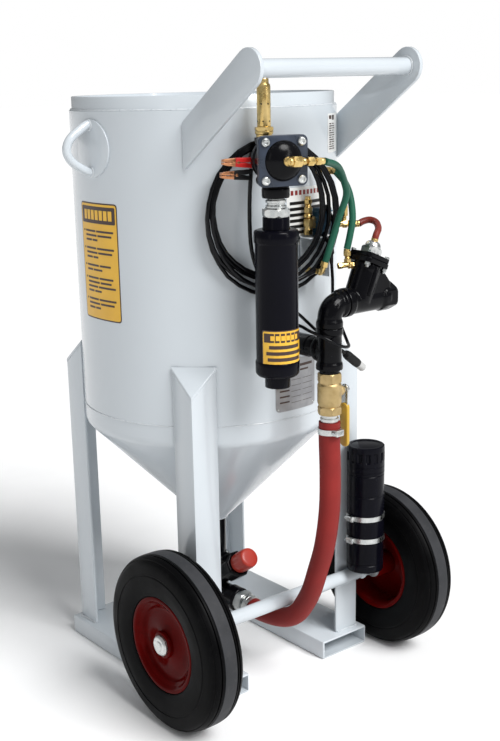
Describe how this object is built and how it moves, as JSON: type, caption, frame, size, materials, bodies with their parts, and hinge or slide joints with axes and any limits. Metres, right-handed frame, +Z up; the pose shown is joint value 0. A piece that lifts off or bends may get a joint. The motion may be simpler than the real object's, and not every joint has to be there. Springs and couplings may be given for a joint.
{
  "type": "portable abrasive blast pot",
  "caption": "Wheeled abrasive-blast pressure pot with fill head, air inlet and exhaust valves, silencer, metering valve, hoses and a push handle.",
  "frame": {"origin": "bottom centre of the bounding box, on the floor", "axes": "+Z up along the tank, -Y toward the handle and valve side, +X to the right seen from that side"},
  "size_m": [0.7534, 0.7775, 1.4467],
  "materials": {
    "white_paint": "gloss",
    "red_paint": "gloss",
    "black_paint": "gloss",
    "tyre": "matte",
    "black_rubber": "satin",
    "red_hose": "matte",
    "rust_hose": "satin",
    "green_hose": "satin",
    "black_plastic": "satin",
    "orange_plastic": "satin",
    "mustard_plastic": "satin",
    "teal_plastic": "satin",
    "zinc": "satin",
    "brass": "satin"
  },
  "bodies": {
    "frame": {"tank_shell": "white_paint", "top_head": "white_paint", "bottom_cone": "white_paint", "popup_guide": "white_paint", "leg_front_left": "white_paint", "leg_front_right": "white_paint", "leg_rear_left": "white_paint", "leg_rear_right": "white_paint", "skid_left": "white_paint", "skid_right": "white_paint", "axle": "white_paint", "handle_arm_left": "white_paint", "handle_arm_right": "white_paint", "handle_bar": "white_paint", "lifting_eye_left": "white_paint", "lifting_eye_right": "white_paint", "exhaust_pipe": "black_paint", "relief_valve": "brass", "exhaust_valve_body": "black_paint", "exhaust_valve_cover": "black_paint", "exhaust_union": "zinc", "silencer": "black_paint", "tank_inlet_pipe": "black_paint", "supply_tee": "black_paint", "ball_valve_body": "brass", "hose_nipple_top": "zinc", "hose_clamp_top": "zinc", "supply_hose": "red_hose", "hose_coupling_bottom": "zinc", "inlet_elbow": "black_paint", "inlet_valve_body": "black_paint", "inlet_valve_cap": "black_paint", "inlet_reducer": "zinc", "outlet_pipe": "black_paint", "metering_valve_body": "black_paint", "canister_body": "black_plastic", "canister_clamp_upper": "zinc", "canister_clamp_lower": "zinc", "control_valve": "teal_plastic", "control_cable_coil": "black_rubber", "control_lead": "black_rubber", "cable_plug": "black_plastic", "battery_clamp_red": "red_paint", "battery_clamp_black": "black_plastic", "green_hose_exhaust": "green_hose", "green_hose_inlet": "green_hose", "pilot_hose": "rust_hose"},
    "wheel_left": {"wheel_rim_left": "red_paint", "tyre_left": "tyre"},
    "wheel_right": {"wheel_rim_right": "red_paint", "tyre_right": "tyre"},
    "popup_valve": {"popup_seal": "black_rubber", "popup_plunger": "zinc"},
    "ball_valve_handle": {"ball_valve_ball": "zinc", "ball_valve_lever": "zinc", "ball_valve_grip": "mustard_plastic"},
    "metering_knob_body": {"metering_knob": "orange_plastic"},
    "canister_lid": {"canister_cap": "black_plastic"},
    "exhaust_piston_body": {"exhaust_piston": "brass"},
    "inlet_piston_body": {"inlet_piston": "brass"}
  },
  "joints": [
    {"name": "wheel_left_spin", "type": "hinge", "parent": "frame", "child": "wheel_left", "pos_m": [-0.3262, -0.1885, 0.2008], "axis": [1, 0, 0], "continuous": true},
    {"name": "wheel_right_spin", "type": "hinge", "parent": "frame", "child": "wheel_right", "pos_m": [0.3262, -0.1885, 0.2008], "axis": [1, 0, 0], "continuous": true},
    {"name": "popup_valve_lift", "type": "slide", "parent": "frame", "child": "popup_valve", "axis": [0, 0, 1], "range_m": [0, 0.0215]},
    {"name": "ball_valve_turn", "type": "hinge", "parent": "frame", "child": "ball_valve_handle", "pos_m": [0.0458, -0.3363, 0.734], "axis": [-1, 0, 0], "range_deg": [0, 90]},
    {"name": "metering_knob_turn", "type": "hinge", "parent": "frame", "child": "metering_knob_body", "pos_m": [0, -0.01091, 0.23325], "axis": [0, -0.8192, 0.5736], "continuous": true},
    {"name": "canister_lid_lift", "type": "slide", "parent": "frame", "child": "canister_lid", "axis": [0, 0, 1], "range_m": [0, 0.08]},
    {"name": "exhaust_piston_slide", "type": "slide", "parent": "frame", "child": "exhaust_piston_body", "axis": [0.2924, 0.9563, 0], "range_m": [0, 0.03], "stiffness_N_per_m": 200},
    {"name": "inlet_piston_slide", "type": "slide", "parent": "frame", "child": "inlet_piston_body", "axis": [0.3907, 0, 0.9205], "range_m": [0, 0.022], "stiffness_N_per_m": 200}
  ]
}
